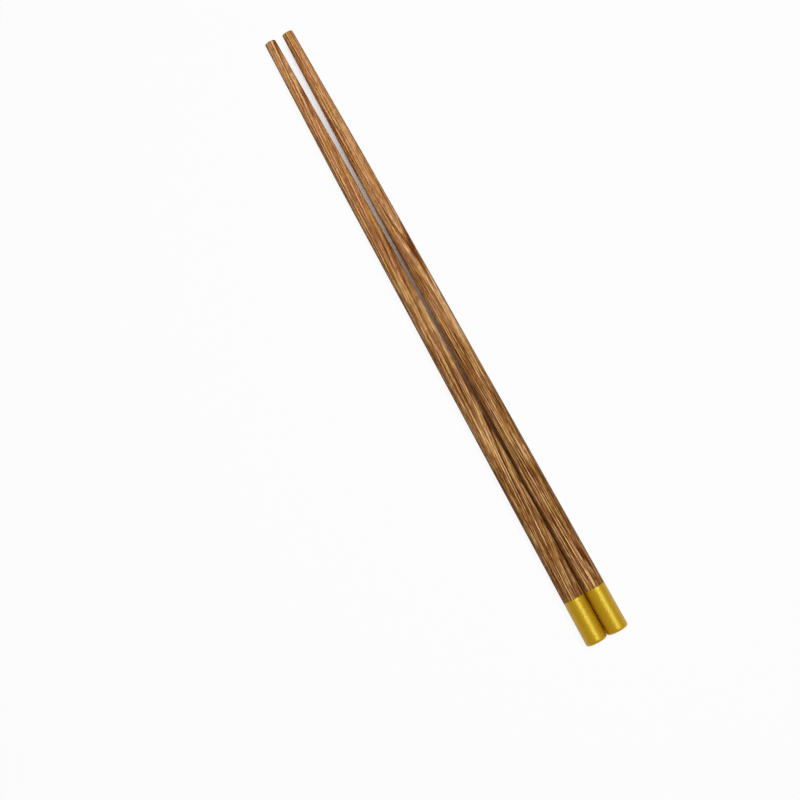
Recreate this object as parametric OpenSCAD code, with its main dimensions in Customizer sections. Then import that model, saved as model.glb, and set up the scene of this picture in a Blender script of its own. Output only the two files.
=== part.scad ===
// Pair of round, tapered wooden chopsticks with a metal cap on each handle end.
// They lie side by side on a flat surface, tips towards +Y, +X to the right and +Z up.
// The origin is on that surface, midway between the sticks and midway along them.

/* [Sticks] */
// Length of one capped stick, from the flat end of its cap to the flat of its tip
stick_length = 250; // [200:1:290]
// Diameter at the capped end, before its edge is rounded
handle_end_d = 8.5; // [7.6:0.1:11]
// Diameter where the slow taper of the handle gives way to the faster taper of the tip
knee_d = 6; // [5:0.1:7]
// Distance from the tip back to that change of taper
knee_from_tip = 54; // [30:1:90]
// Diameter at the tip, before its edge is rounded
tip_d = 4.2; // [3:0.1:4.8]
// Radius of the rounded edge around the tip
tip_edge_r = 0.4; // [0.1:0.1:1]

/* [Caps] */
// Length of the metal cap
cap_length = 18; // [8:1:40]
// Thickness of the cap's wall at its open rim
cap_wall = 0.4; // [0.2:0.05:0.8]
// Thickness of the cap's closed end
cap_end_wall = 0.5; // [0.3:0.1:2]
// Radius of the rounded edge around the closed end, outside
cap_edge_r = 1; // [1:0.1:1.6]

/* [Glued joint] */
// Clearance left all round the tenon for the glue
glue_gap = 0.05; // [0.03:0.01:0.15]
// Room left for glue between the end of the tenon and the closed end of the cap
glue_pocket = 0.3; // [0.2:0.1:1]

/* [How the pair lies] */
// Clearance between the two caps, which lie against each other
caps_apart = 0.05; // [0.02:0.01:1]
// Clear distance between the two tips
tips_apart = 3; // [1:0.1:3.8]

/* [Hidden] */
$fn = 96;

handle_end_r = handle_end_d / 2;
knee_r = knee_d / 2;
tip_r = tip_d / 2;

// Radius lost for each millimetre towards the tip, behind the knee and past it
handle_slope = (handle_end_r - knee_r) / (stick_length - knee_from_tip);
tip_slope = (knee_r - tip_r) / knee_from_tip;

// The cap's rim meets the wood at a shoulder of the same diameter, and the tenon fills the bore
shoulder_r = handle_end_r - handle_slope * cap_length;
bore_r = shoulder_r - cap_wall;
bore_edge_r = cap_edge_r - cap_wall;
tenon_r = bore_r - glue_gap;
tenon_edge_r = bore_edge_r - glue_gap;
tenon_end_depth = cap_end_wall + glue_pocket;

// A cone rests along its underside, so its axis dips towards the tip
axis_dip = atan(handle_slope);

// Each stick turns in towards the other, until the tips are as far apart as stated
ends_between = handle_end_d + caps_apart;
tips_between = tip_d + tips_apart;
turn_in = asin((ends_between - tips_between) / (2 * stick_length));

// The rounded corner of a turned end, as [radius, distance in from the end]: where its arc
// leaves the flat, the arc's centre, and where it runs into the side. The side gains slope
// in radius for each millimetre inwards.
function corner(end_r, slope, edge_r) =
    let (unit = sqrt(1 + slope * slope))
    let (centre = [end_r + (slope - unit) * edge_r, edge_r])
    [[centre.x, 0], centre, centre + edge_r / unit * [1, -slope]];

// Outline of the wooden stick, radius to the right and distance from the tip upwards
module stick_outline() {
    shoulder_at = stick_length - cap_length;
    tenon_end_at = stick_length - tenon_end_depth;
    tip = corner(tip_r, tip_slope, tip_edge_r);
    tenon = [for (p = corner(tenon_r, 0, tenon_edge_r)) [p.x, tenon_end_at - p.y]];
    polygon([
        [0, 0],
        tip[0],
        tip[2],
        [knee_r, knee_from_tip],
        [shoulder_r, shoulder_at],
        [tenon_r, shoulder_at],
        tenon[2],
        tenon[0],
        [0, tenon_end_at]
    ]);
    translate(tip[1])
        circle(r = tip_edge_r);
    translate(tenon[1])
        circle(r = tenon_edge_r);
}

// Outline of a round-ended plug, the cap's outside or its bore. It starts end_at from the capped
// end and runs up to the cap's open rim.
module plug_outline(end_at, end_r, slope, edge_r) {
    edge = [for (p = corner(end_r, slope, edge_r)) [p.x, end_at + p.y]];
    polygon([
        [0, end_at],
        edge[0],
        edge[2],
        [end_r + slope * (cap_length - end_at), cap_length],
        [0, cap_length]
    ]);
    translate(edge[1])
        circle(r = edge_r);
}

// Outline of the metal cap, a cup whose outside carries on the taper over a straight bore
module cap_outline() {
    difference() {
        plug_outline(0, handle_end_r, -handle_slope, cap_edge_r);
        plug_outline(cap_end_wall, bore_r, 0, bore_edge_r);
    }
}

// Lays a turned piece down on its underside, on the left of the pair
module lie_on_left() {
    translate([-ends_between / 2, -stick_length / 2, 0])
        rotate([0, 0, -turn_in])
            rotate([-axis_dip, 0, 0])
                translate([0, 0, handle_end_r])
                    rotate([-90, 0, 0])
                        children();
}

// The same on the right of the pair
module lie_on_right() {
    mirror([1, 0, 0])
        lie_on_left()
            children();
}

module wooden_stick() {
    color("#8f6238")
        rotate_extrude()
            translate([0, stick_length])
                mirror([0, 1])
                    stick_outline();
}

module metal_cap() {
    color("#c8a038")
        rotate_extrude()
            cap_outline();
}

module left_stick() {
    lie_on_left()
        wooden_stick();
}

module left_cap() {
    lie_on_left()
        metal_cap();
}

module right_stick() {
    lie_on_right()
        wooden_stick();
}

module right_cap() {
    lie_on_right()
        metal_cap();
}

left_stick();
left_cap();
right_stick();
right_cap();
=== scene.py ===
import math

import bpy
from mathutils import Matrix, Vector, noise


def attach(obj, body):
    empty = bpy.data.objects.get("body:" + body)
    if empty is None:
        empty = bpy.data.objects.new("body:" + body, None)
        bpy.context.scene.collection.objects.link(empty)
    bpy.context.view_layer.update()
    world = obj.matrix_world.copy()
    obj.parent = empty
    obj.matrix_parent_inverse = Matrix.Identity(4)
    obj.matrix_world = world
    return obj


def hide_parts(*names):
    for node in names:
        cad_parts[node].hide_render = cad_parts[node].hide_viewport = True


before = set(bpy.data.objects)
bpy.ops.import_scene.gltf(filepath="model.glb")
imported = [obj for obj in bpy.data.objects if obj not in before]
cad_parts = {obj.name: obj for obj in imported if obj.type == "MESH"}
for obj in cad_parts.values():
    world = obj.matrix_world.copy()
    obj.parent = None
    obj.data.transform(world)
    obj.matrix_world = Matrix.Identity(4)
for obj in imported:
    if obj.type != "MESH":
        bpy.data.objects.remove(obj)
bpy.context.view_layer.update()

# Camera
# It looks almost straight down through a short telephoto lens. The pair lies slantwise in the
# frame, to the right of its middle.
camera = bpy.data.objects.new("camera", bpy.data.cameras.new("camera"))
camera.data.sensor_width = 36
camera.data.lens = 75.15
camera.location = (-0.02698, -0.03164, 0.61313)
camera.rotation_euler = [math.radians(turn) for turn in (1.584, 0.647, -28.722)]
bpy.context.scene.collection.objects.link(camera)
bpy.context.scene.camera = camera

# Sizes
# A stick has two tapers that meet softly at the knee, and a reduced tenon in its cap. Each mesh is
# made a hair under size, so that its many facets stay within the nominal round.
mm = 0.001
stick_length = 250 * mm
handle_end_r = 4.25 * mm
knee_r = 3 * mm
knee_from_tip = 54 * mm
knee_blend = 8 * mm
tip_r = 2.1 * mm
tip_edge_r = 0.4 * mm
cap_length = 18 * mm
cap_wall = 0.4 * mm
cap_end_wall = 0.5 * mm
cap_edge_r = 1 * mm
glue_gap = 0.05 * mm
glue_pocket = 0.3 * mm
caps_apart = 0.05 * mm
tips_apart = 3 * mm
hair = 0.006 * mm

handle_slope = (handle_end_r - knee_r) / (stick_length - knee_from_tip)
tip_slope = (knee_r - tip_r) / knee_from_tip
shoulder_r = handle_end_r - handle_slope * cap_length
bore_r = shoulder_r - cap_wall
bore_edge_r = cap_edge_r - cap_wall
ends_between = 2 * handle_end_r + caps_apart
tips_between = 2 * tip_r + tips_apart
turn_in = math.asin((ends_between - tips_between) / (2 * stick_length))
axis_dip = math.atan(handle_slope)


# Turned shapes
# Each piece is drawn as an outline from axis to axis and turned about it. The sticks and the caps
# are made the same way.
def corner(end_r, slope, edge_r, steps=8):
    """A turned end's rounded corner, as (radius, distance in from the end)."""
    centre_r = end_r + (slope - math.hypot(1, slope)) * edge_r
    first, last = -math.pi / 2, -math.atan(slope)
    angles = [first + (last - first) * step / steps for step in range(steps + 1)]
    return [(centre_r + edge_r * math.cos(a), edge_r + edge_r * math.sin(a)) for a in angles]


def lie_down(side):
    """Lays a turned piece on its underside, its axis dipping and turning in towards the tip."""
    return (
        Matrix.Translation((side * ends_between / 2, -stick_length / 2, 0))
        @ Matrix.Rotation(side * turn_in, 4, "Z")
        @ Matrix.Rotation(-axis_dip, 4, "X")
        @ Matrix.Translation((0, 0, handle_end_r))
        @ Matrix.Rotation(-math.pi / 2, 4, "X")
    )


def turned(name, outline, around, side, taken_off=None):
    """A piece turned about its own Z, from an outline of (radius, distance) from axis to axis. A
    function may say how much is taken off its surface at each distance and turn."""
    verts, rings = [], []
    for radius, along in outline:
        count = around if radius else 1
        rings.append([len(verts) + k for k in range(count)])
        for k in range(count):
            turn = 2 * math.pi * k / around
            r = radius - hair if radius else 0
            if radius and taken_off:
                r -= taken_off(along, turn)
            verts.append((r * math.cos(turn), r * math.sin(turn), along))
    faces = []
    for low, high in zip(rings, rings[1:]):
        for k in range(around):
            k2 = (k + 1) % around
            if len(low) == 1:
                faces.append((low[0], high[k2], high[k]))
            elif len(high) == 1:
                faces.append((low[k], low[k2], high[0]))
            else:
                faces.append((low[k], low[k2], high[k2], high[k]))
    mesh = bpy.data.meshes.new(name)
    mesh.from_pydata(verts, [], faces)
    mesh.transform(lie_down(side))
    mesh.shade_smooth()
    mesh.set_sharp_from_angle(angle=math.radians(50))
    piece = bpy.data.objects.new(name, mesh)
    bpy.context.scene.collection.objects.link(piece)
    return piece


# Shader nodes
# Short names for the few kinds of node that every material here is built from.
def srgb(code):
    """The linear colour that an sRGB hex value stands for."""
    levels = [int(code[at:at + 2], 16) / 255 for at in (1, 3, 5)]
    return (*[v / 12.92 if v <= 0.04045 else ((v + 0.055) / 1.055) ** 2.4 for v in levels], 1)


def empty_tree(owner):
    """The emptied node tree of a material or world."""
    owner.use_nodes = True
    owner.node_tree.nodes.clear()
    return owner.node_tree


def node(tree, kind, inputs=None, **settings):
    """Adds a node. An input is given as a value, or as another node's output to link."""
    made = tree.nodes.new(kind)
    for name, value in settings.items():
        setattr(made, name, value)
    for name, value in (inputs or {}).items():
        if isinstance(value, bpy.types.NodeSocket):
            tree.links.new(value, made.inputs[name])
        else:
            made.inputs[name].default_value = value
    return made


def calculate(tree, operation, *values):
    """The result of one operation on two or three values."""
    inputs = dict(enumerate(values))
    return node(tree, "ShaderNodeMath", inputs, operation=operation).outputs[0]


def ranged(tree, value, low, high, to_low=0, to_high=1, **settings):
    """A value moved from one range to another, and held within it."""
    return node(tree, "ShaderNodeMapRange", {
        "Value": value, "From Min": low, "From Max": high, "To Min": to_low, "To Max": to_high,
    }, **settings).outputs["Result"]


def mixed(tree, share, first, second, how="MIX"):
    """Two colours mixed. A Mix node has them at its inputs 6 and 7 and its output 2."""
    inputs = {0: share, 6: first, 7: second}
    return node(tree, "ShaderNodeMix", inputs, data_type="RGBA", blend_type=how).outputs[2]


def ramp(tree, value, stops):
    """The colour that a value has on a ramp, from stops of (position, linear colour)."""
    made = node(tree, "ShaderNodeValToRGB", {"Fac": value})
    while len(made.color_ramp.elements) < len(stops):
        made.color_ramp.elements.new(0.5)
    for element, (position, colour) in zip(made.color_ramp.elements, stops):
        element.position = position
        element.color = colour
    return made.outputs["Color"]


def own_place(tree, side):
    """Places measured along a turned piece's own axis, from the capped end."""
    own = lie_down(side).inverted()
    return node(tree, "ShaderNodeMapping", {
        "Vector": node(tree, "ShaderNodeTexCoord").outputs["Object"],
        "Location": own.translation,
        "Rotation": own.to_euler(),
    }).outputs["Vector"]


def patches(tree, place, width, length, detail):
    """Soft patches of about this width across the axis and this length along it."""
    stretched = node(tree, "ShaderNodeMapping", {
        "Vector": place, "Scale": (1 / width, 1 / width, 1 / length)})
    return node(tree, "ShaderNodeTexNoise", {
        "Vector": stretched.outputs["Vector"], "Scale": 1, "Detail": detail}).outputs["Fac"]


# Wooden sticks
# Each is turned from one piece of dense striped hardwood, then sanded fine and sealed. Its edge at
# the cap is broken, and a reduced tenon at the handle end is glued into the cap.
stick_facets = 96
ring_count = 464
shoulder_edge = 0.06 * mm
sanding_dip = 0.02 * mm
hollow_length = 25 * mm
hollows_around = 1.2


def stick_r(from_tip):
    """Radius of the wood, with the change of taper blended over a few millimetres."""
    tip_taper = tip_r + tip_slope * from_tip
    handle_taper = knee_r + handle_slope * (from_tip - knee_from_tip)
    blend = (tip_slope - handle_slope) * knee_blend
    near = max(blend - abs(tip_taper - handle_taper), 0)
    return min(tip_taper, handle_taper) - near * near / (4 * blend)


def sanded(along, turn):
    """How far hand sanding has taken the bare wood down, in shallow hollows a few cm long."""
    if along <= cap_length + shoulder_edge or along > stick_length - tip_edge_r:
        return 0
    x, y = math.cos(turn) * hollows_around, math.sin(turn) * hollows_around
    return sanding_dip * (0.5 + 0.5 * noise.noise(Vector((x, y, along / hollow_length))))


tenon_r = bore_r - glue_gap
tenon_end_at = cap_end_wall + glue_pocket
stick_outline = [(0, tenon_end_at)]
stick_outline += [(r, tenon_end_at + z) for r, z in corner(tenon_r, 0, bore_edge_r - glue_gap)]
stick_outline += [(tenon_r, cap_length), (shoulder_r - shoulder_edge, cap_length)]
wood_from = cap_length + shoulder_edge
wood_to = stick_length - tip_edge_r * 1.05
for step in range(ring_count + 1):
    along = wood_from + (wood_to - wood_from) * step / ring_count
    stick_outline.append((stick_r(stick_length - along), along))
stick_outline += [(r, stick_length - z) for r, z in reversed(corner(tip_r, tip_slope, tip_edge_r))]
stick_outline.append((0, stick_length))


# Sealed striped hardwood. Thin dark and light growth bands run almost along the stick, so they
# show as fine stripes where they stand on edge and open into long pointed flames where they lie
# flat to the surface. The oiled finish is dull, with open pores.
def striped_hardwood(name, side, start, turn, dive, slant, darker):
    material = bpy.data.materials.new(name)
    tree = empty_tree(material)

    # Places measured along the stick's own axis, then along its slanting fibres
    place = own_place(tree, side)
    grain = node(tree, "ShaderNodeMapping", {
        "Vector": place,
        "Location": [v * mm for v in start],
        "Rotation": [math.radians(a) for a in (dive, slant, turn)],
    }).outputs["Vector"]

    # The slow waves in the growth bands, and the ragged edges of the bands
    sway = patches(tree, grain, 9 * mm, 60 * mm, 0)
    wander = patches(tree, grain, 2.5 * mm, 35 * mm, 1)
    fray = patches(tree, grain, 0.3 * mm, 4 * mm, 1)
    # Differences in the wood's own colour
    streaks = patches(tree, grain, 0.34 * mm, 24 * mm, 2)
    flecks = patches(tree, grain, 0.3 * mm, 2.5 * mm, 1)
    tone = patches(tree, grain, 2 * mm, 25 * mm, 2)
    tint = patches(tree, grain, 0.5 * mm, 10 * mm, 2)
    blotches = patches(tree, grain, 3 * mm, 9 * mm, 2)
    # Real pores are 0.1 to 0.2 mm wide, and are drawn wider so that they show
    pores = patches(tree, grain, 0.25 * mm, 2.5 * mm, 0)

    # Growth bands, as layers across the grain that the waves bend
    band_spacing = 0.5 * mm
    bent = node(tree, "ShaderNodeSeparateXYZ", {"Vector": grain}).outputs["X"]
    for part, reach in ((sway, 2.2 * mm), (wander, 0.8 * mm), (fray, 0.25 * mm)):
        bent = calculate(tree, "MULTIPLY_ADD", part, reach, bent)
    layer = calculate(tree, "DIVIDE", bent, band_spacing)
    bands = node(tree, "ShaderNodeTexNoise", {
        "W": layer, "Scale": 1, "Detail": 1}, noise_dimensions="1D").outputs["Fac"]

    # How light the wood is, from its bands and its other differences together
    figure = -darker
    for part, share in ((bands, 0.32), (streaks, 0.42), (flecks, 0.13), (tone, 0.13)):
        figure = calculate(tree, "MULTIPLY_ADD", part, share, figure)

    # Strongly striped brown at the handle, plainer golden brown at the tip
    handle_colour = ramp(tree, figure, (
        (0.395, srgb("#3c1b05")),
        (0.445, srgb("#6b3b13")),
        (0.495, srgb("#976634")),
        (0.545, srgb("#c0965f")),
        (0.60, srgb("#e2bc86")),
    ))
    tip_colour = ramp(tree, figure, (
        (0.38, srgb("#6f3c13")),
        (0.445, srgb("#a26835")),
        (0.505, srgb("#c48c57")),
        (0.59, srgb("#e6b883")),
    ))
    along = node(tree, "ShaderNodeSeparateXYZ", {"Vector": place}).outputs["Z"]
    towards_tip = ranged(tree, along, 60 * mm, 235 * mm, interpolation_type="SMOOTHSTEP")
    colour = mixed(tree, towards_tip, handle_colour, tip_colour)

    # Some streaks are more olive and others pinker
    olive, plain, pink = (0.99, 1.01, 0.65, 1), (1, 1, 1, 1), (1.03, 0.93, 1.2, 1)
    cast = ramp(tree, tint, ((0.36, olive), (0.5, plain), (0.64, pink)))
    colour = mixed(tree, 1, colour, cast, "MULTIPLY")

    # Here and there a plainer reddish-brown blotch half hides the stripes
    blotch_cover = 0.55
    blotch = ranged(tree, blotches, 0.57, 0.64, to_high=blotch_cover)
    colour = mixed(tree, blotch, colour, srgb("#875534"))

    # Open pores are darker and rougher than the wood between them
    pore_darkness = 0.5
    pore = ranged(tree, pores, 0.6, 0.72)
    shade = calculate(tree, "MULTIPLY", pore, pore_darkness)
    colour = mixed(tree, shade, colour, srgb("#4a2810"))
    roughness = ranged(tree, pore, 0, 1, 0.5, 0.75)

    # The streaks stand a little proud and the pores are sunk
    height = calculate(tree, "MULTIPLY_ADD", pore, -1.0, streaks)
    bump = node(tree, "ShaderNodeBump", {"Height": height, "Strength": 0.6, "Distance": 0.03 * mm})
    finish = node(tree, "ShaderNodeBsdfPrincipled", {
        "Base Color": colour,
        "Roughness": roughness,
        "IOR": 1.5,
        "Specular IOR Level": 0.08,
        "Normal": bump.outputs["Normal"],
    })
    node(tree, "ShaderNodeOutputMaterial", {"Surface": finish.outputs["BSDF"]})
    return material


# The two sticks come from different places in the log, given in mm, and their fibres run at
# slightly different angles, given in degrees. The left one is a little darker.
for name, side, start, turn, dive, slant, darker in (
    ("left_stick", -1, (11, 4, 0), 30, 1.0, -2.5, 0.010),
    ("right_stick", 1, (37, 21, 90), 60, 1.2, 0.5, 0.008),
):
    stick = turned(name + "_turned", stick_outline, stick_facets, side, sanded)
    stick.data.materials.append(striped_hardwood(
        name + "_striped_hardwood", side, start, turn, dive, slant, darker))
    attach(stick, "root")
    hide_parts(name)

# Metal caps
# Each is a thin cup drawn from sheet brass, closed at the handle end with a rounded edge, brushed
# to a satin and lacquered. It is glued over the tenon, and its rim meets the wood flush.
cap_facets = 128
cap_side_steps = 24
rim_edge = 0.08 * mm
cap_outline = [(0, 0)]
cap_outline += corner(handle_end_r, -handle_slope, cap_edge_r, steps=16)
edge_end = cap_outline[-1]
side_end = (shoulder_r, cap_length - rim_edge)
for step in range(1, cap_side_steps + 1):
    share = step / cap_side_steps
    cap_outline.append(tuple(a + (b - a) * share for a, b in zip(edge_end, side_end)))
cap_outline += [
    (shoulder_r - rim_edge * 0.3, cap_length - rim_edge * 0.3),
    (shoulder_r - rim_edge, cap_length),
    (bore_r, cap_length),
]
cap_outline += [(r, cap_end_wall + z) for r, z in reversed(corner(bore_r, 0, bore_edge_r))]
cap_outline.append((0, cap_end_wall))


# Lacquered satin brass. Fine brushing around the cup spreads its highlight into a soft stripe
# and scatters part of the light, so the metal is bright but hardly mirrors. The clear lacquer
# adds a sharper gleam at the middle of the stripe.
def satin_brass(name, side):
    material = bpy.data.materials.new(name)
    tree = empty_tree(material)
    place = own_place(tree, side)

    # Brush lines 0.12 mm wide and a few millimetres long, coarser than the real ones
    brushing = patches(tree, place, 2 * mm, 0.12 * mm, 2)
    clouds = patches(tree, place, 3 * mm, 3 * mm, 2)
    colour = mixed(tree, clouds, srgb("#bd9206"), srgb("#c89d0c"))
    roughness = ranged(tree, brushing, 0.3, 0.7, 0.38, 0.46)
    bump = node(tree, "ShaderNodeBump", {"Height": brushing, "Strength": 0.3, "Distance": 0.005 * mm})
    finish = node(tree, "ShaderNodeBsdfPrincipled", {
        "Base Color": colour,
        "Metallic": 0.6,
        "Roughness": roughness,
        "Coat Weight": 0.3,
        "Coat Roughness": 0.15,
        "Normal": bump.outputs["Normal"],
    })
    node(tree, "ShaderNodeOutputMaterial", {"Surface": finish.outputs["BSDF"]})
    return material


for name, side in (("left_cap", -1), ("right_cap", 1)):
    cap = turned(name + "_drawn", cap_outline, cap_facets, side)
    cap.data.materials.append(satin_brass(name + "_lacquered_satin_brass", side))
    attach(cap, "root")
    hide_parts(name)

# Floor and light
# A plain white table under a large soft lamp, above it and a little to the right, and a cream
# ceiling. The table shows almost pure white and keeps the pair's faint shadow.
background = srgb("#fefefe")


def shown(tree):
    """1 where a surface is seen, directly, in a reflection or through glass, and 0 where it only
    sends light on."""
    path = node(tree, "ShaderNodeLightPath").outputs
    either = calculate(tree, "MAXIMUM", path["Is Camera Ray"], path["Is Glossy Ray"])
    return calculate(tree, "MAXIMUM", either, path["Is Transmission Ray"])


# The table glows white where it is open to the sky. In the narrow gap between the sticks the glow
# gives way to painted shade, a brown that darkens as the wood closes in, standing for the shade there
# and the light that the wood on both sides colours.
table_material = bpy.data.materials.new("white_table")
tree = empty_tree(table_material)
table_shown = shown(tree)
open_sky = node(tree, "ShaderNodeAmbientOcclusion", {"Distance": 8 * mm}).outputs["AO"]
# Painted shade: the table's colour turns brown, then dark brown, where little sky reaches it between
# the sticks
painted_gap_shade = ramp(tree, open_sky, (
    (0.06, srgb("#6f4320")),
    (0.14, srgb("#84532f")),
    (0.22, srgb("#a88c78")),
    (0.34, srgb("#f0f0f0")),
))
table_colour = mixed(tree, table_shown, srgb("#808080"), painted_gap_shade)
matt = node(tree, "ShaderNodeBsdfDiffuse", {"Color": table_colour})
glow = node(tree, "ShaderNodeEmission", {"Color": background, "Strength": 1})
glow_in_the_open = 0.9
# The glow fades out where the painted shade takes over
glow_share = ranged(tree, open_sky, 0.22, 0.33, to_high=glow_in_the_open)
glow_share = calculate(tree, "MULTIPLY", table_shown, glow_share)
table_look = node(tree, "ShaderNodeMixShader", {
    0: glow_share, 1: matt.outputs["BSDF"], 2: glow.outputs["Emission"]})
node(tree, "ShaderNodeOutputMaterial", {"Surface": table_look.outputs["Shader"]})

# The sky shows as white as the table, and gives only a little light of its own
world = bpy.data.worlds.new("studio")
tree = empty_tree(world)
bpy.context.scene.world = world
all_round = 0.06
level = ranged(tree, shown(tree), 0, 1, all_round, 1)
sky = node(tree, "ShaderNodeBackground", {"Color": background, "Strength": level})
node(tree, "ShaderNodeOutputWorld", {"Surface": sky.outputs["Background"]})

ceiling_material = bpy.data.materials.new("cream_ceiling")
tree = empty_tree(ceiling_material)
cream = node(tree, "ShaderNodeEmission", {"Color": srgb("#c2bc9c"), "Strength": 1})
node(tree, "ShaderNodeOutputMaterial", {"Surface": cream.outputs["Emission"]})

# The ceiling shows only as a reflection in the metal
for name, half, height, material, only_reflected in (
    ("table", 3, 0, table_material, False),
    ("ceiling", 12, 1.3, ceiling_material, True),
):
    corners = [(x * half, y * half, height) for x, y in ((-1, -1), (1, -1), (1, 1), (-1, 1))]
    mesh = bpy.data.meshes.new(name)
    mesh.from_pydata(corners, [], [(0, 1, 2, 3)])
    plane = bpy.data.objects.new(name, mesh)
    plane.data.materials.append(material)
    plane.visible_camera = not only_reflected
    plane.visible_diffuse = not only_reflected
    plane.visible_shadow = not only_reflected
    bpy.context.scene.collection.objects.link(plane)

# The wide lamp lights the wood and the table, and the gleam lamp shows only as a reflection
for name, size, energy, spot, colour, only_reflected in (
    ("wide_lamp", 0.6, 10.8, (0.13, 0, 1), (1, 1, 1), False),
    ("gleam_lamp", 0.55, 4.6, (0.32, 0, 1), (0.62, 0.92, 1), True),
):
    lamp = bpy.data.objects.new(name, bpy.data.lights.new(name, "AREA"))
    lamp.data.shape = "SQUARE"
    lamp.data.size = size
    lamp.data.energy = energy
    lamp.data.color = colour
    lamp.location = spot
    lamp.rotation_euler = (0, math.atan2(spot[0], spot[2]), 0)
    lamp.visible_camera = False
    lamp.visible_glossy = only_reflected
    lamp.visible_diffuse = not only_reflected
    bpy.context.scene.collection.objects.link(lamp)

bpy.context.scene.view_settings.view_transform = "Standard"
